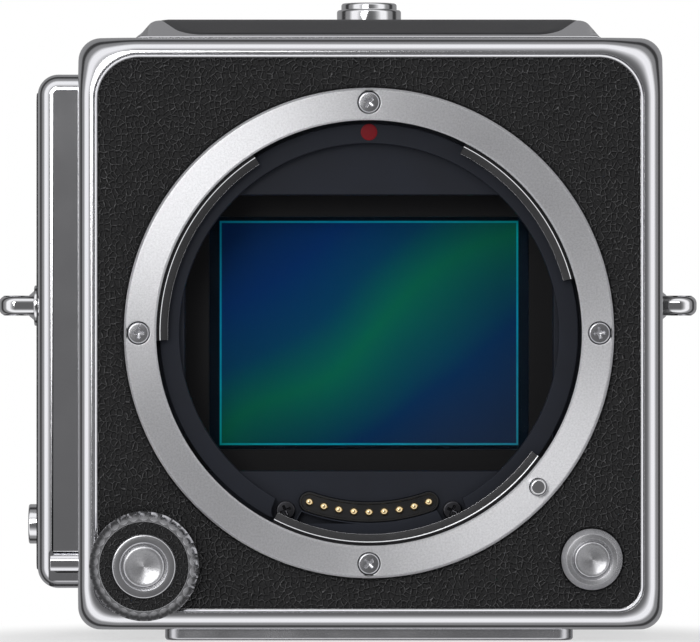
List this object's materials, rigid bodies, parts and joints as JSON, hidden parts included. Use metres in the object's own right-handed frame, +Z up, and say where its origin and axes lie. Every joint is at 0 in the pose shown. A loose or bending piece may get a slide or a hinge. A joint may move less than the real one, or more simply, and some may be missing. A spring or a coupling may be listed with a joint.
{
  "type": "medium format digital camera",
  "caption": "Square camera body with a round bayonet lens mount in front and a latched digital back with a tilting screen, keys and side doors.",
  "frame": {"origin": "on the optical axis, in the plane of the mount ring's front face that a lens seats on", "axes": "+X to the right as seen from the front, +Y along the optical axis into the camera, +Z up"},
  "size_m": [0.102, 0.084, 0.0933],
  "materials": {
    "body_metal": "satin chrome on cast alloy",
    "leather": "pebbled black leather",
    "ring_metal": "satin machined ring",
    "steel": "plain machined steel",
    "spring_steel": "drawn wire",
    "chrome": "polished chrome",
    "black_metal": "black satin paint",
    "baffle_black": "matt blue-black anti-reflection paint",
    "red_paint": "red enamel",
    "black_plastic": "moulded black plastic",
    "gilt": "gilt contact metal",
    "cover_glass": "coated cover glass",
    "sensor_face": "iridescent silicon in a ceramic package",
    "heat_sink": "plain aluminium",
    "circuit_board": "green solder mask",
    "display_glass": "black touch glass",
    "rubber": "black rubber"
  },
  "bodies": {
    "camera": {"body_shell": "body_metal", "side_cheek": "body_metal", "cheek_block": "body_metal", "top_ridge": "body_metal", "back_shell": "body_metal", "back_top_cover": "body_metal", "front_leather": "leather", "side_leathers": "leather", "lens_mount_ring": "ring_metal", "body_screws": "steel", "tripod_bush": "steel", "hinge_pins": "steel", "shutter_spring": "spring_steel", "release_spring": "spring_steel", "latch_spring": "spring_steel", "dial_collar": "chrome", "release_collar": "chrome", "strap_lug_left": "chrome", "strap_lug_right": "chrome", "front_plate": "black_metal", "body_rear_plate": "black_metal", "name_strip": "black_metal", "tripod_plate": "black_metal", "rear_panel": "black_metal", "sensor_frame": "black_metal", "block_screws": "black_metal", "light_baffle": "baffle_black", "index_dot": "red_paint", "contact_block": "black_plastic", "card_reader": "black_plastic", "port_block": "black_plastic", "battery_tray": "black_plastic", "memory_cards": "black_plastic", "sensor_cover_glass": "cover_glass", "image_sensor": "sensor_face", "heat_sink": "heat_sink", "main_board": "circuit_board", "key_board": "circuit_board", "body_feet": "rubber"},
    "dial": {"control_dial": "chrome", "dial_leather": "leather"},
    "shutter": {"shutter_button": "chrome"},
    "lens_release": {"lens_release_button": "chrome", "lens_lock_pin": "steel"},
    "contacts": {"contact_pins": "gilt"},
    "back_release": {"back_release_knob": "chrome", "latch_slider": "steel"},
    "power": {"power_button": "chrome"},
    "screen": {"screen_frame": "black_metal", "touch_display": "display_glass"},
    "card_cover": {"card_door": "body_metal"},
    "port_cover": {"port_door": "body_metal"},
    "battery": {"battery_pack": "black_plastic", "battery_cap": "body_metal"},
    "catch": {"battery_catch": "black_plastic"},
    "key_1": {"rear_key_1": "black_plastic"},
    "key_2": {"rear_key_2": "black_plastic"},
    "key_3": {"rear_key_3": "black_plastic"},
    "key_4": {"rear_key_4": "black_plastic"},
    "key_5": {"rear_key_5": "black_plastic"}
  },
  "joints": [
    {"name": "dial_turn", "type": "hinge", "parent": "camera", "child": "dial", "pos_m": [-0.0323, 0, -0.0335], "axis": [0, 1, 0], "continuous": true},
    {"name": "shutter_press", "type": "slide", "parent": "camera", "child": "shutter", "axis": [0, 1, 0], "range_m": [0, 0.0012], "stiffness_N_per_m": 1200, "deforming": ["shutter_spring"]},
    {"name": "lens_release_press", "type": "slide", "parent": "camera", "child": "lens_release", "axis": [0, 1, 0], "range_m": [0, 0.002], "stiffness_N_per_m": 1200, "deforming": ["release_spring"]},
    {"name": "contact_pins_press", "type": "slide", "parent": "camera", "child": "contacts", "axis": [0, 1, 0], "range_m": [0, 0.0006], "stiffness_N_per_m": 1500},
    {"name": "back_release_slide", "type": "slide", "parent": "camera", "child": "back_release", "axis": [1, 0, 0], "range_m": [0, 0.003], "stiffness_N_per_m": 1200, "deforming": ["latch_spring"]},
    {"name": "power_press", "type": "slide", "parent": "camera", "child": "power", "axis": [1, 0, 0], "range_m": [0, 0.0008], "stiffness_N_per_m": 1200},
    {"name": "screen_tilt", "type": "hinge", "parent": "camera", "child": "screen", "pos_m": [0, 0.075, 0.0337], "axis": [1, 0, 0], "range_deg": [0, 90]},
    {"name": "card_door_swing", "type": "hinge", "parent": "camera", "child": "card_cover", "pos_m": [0.041, 0.0446, 0.017], "axis": [0, 0, -1], "range_deg": [0, 100]},
    {"name": "port_door_swing", "type": "hinge", "parent": "camera", "child": "port_cover", "pos_m": [0.041, 0.0446, -0.0175], "axis": [0, 0, -1], "range_deg": [0, 100]},
    {"name": "battery_slide", "type": "slide", "parent": "camera", "child": "battery", "axis": [-1, 0, 0], "range_m": [0, 0.064]},
    {"name": "battery_catch_slide", "type": "slide", "parent": "battery", "child": "catch", "axis": [0, 0, 1], "range_m": [0, 0.002]},
    {"name": "rear_key_1_press", "type": "slide", "parent": "camera", "child": "key_1", "axis": [0, -1, 0], "range_m": [0, 0.0006], "stiffness_N_per_m": 1200},
    {"name": "rear_key_2_press", "type": "slide", "parent": "camera", "child": "key_2", "axis": [0, -1, 0], "range_m": [0, 0.0006], "stiffness_N_per_m": 1200},
    {"name": "rear_key_3_press", "type": "slide", "parent": "camera", "child": "key_3", "axis": [0, -1, 0], "range_m": [0, 0.0006], "stiffness_N_per_m": 1200},
    {"name": "rear_key_4_press", "type": "slide", "parent": "camera", "child": "key_4", "axis": [0, -1, 0], "range_m": [0, 0.0006], "stiffness_N_per_m": 1200},
    {"name": "rear_key_5_press", "type": "slide", "parent": "camera", "child": "key_5", "axis": [0, -1, 0], "range_m": [0, 0.0006], "stiffness_N_per_m": 1200}
  ]
}
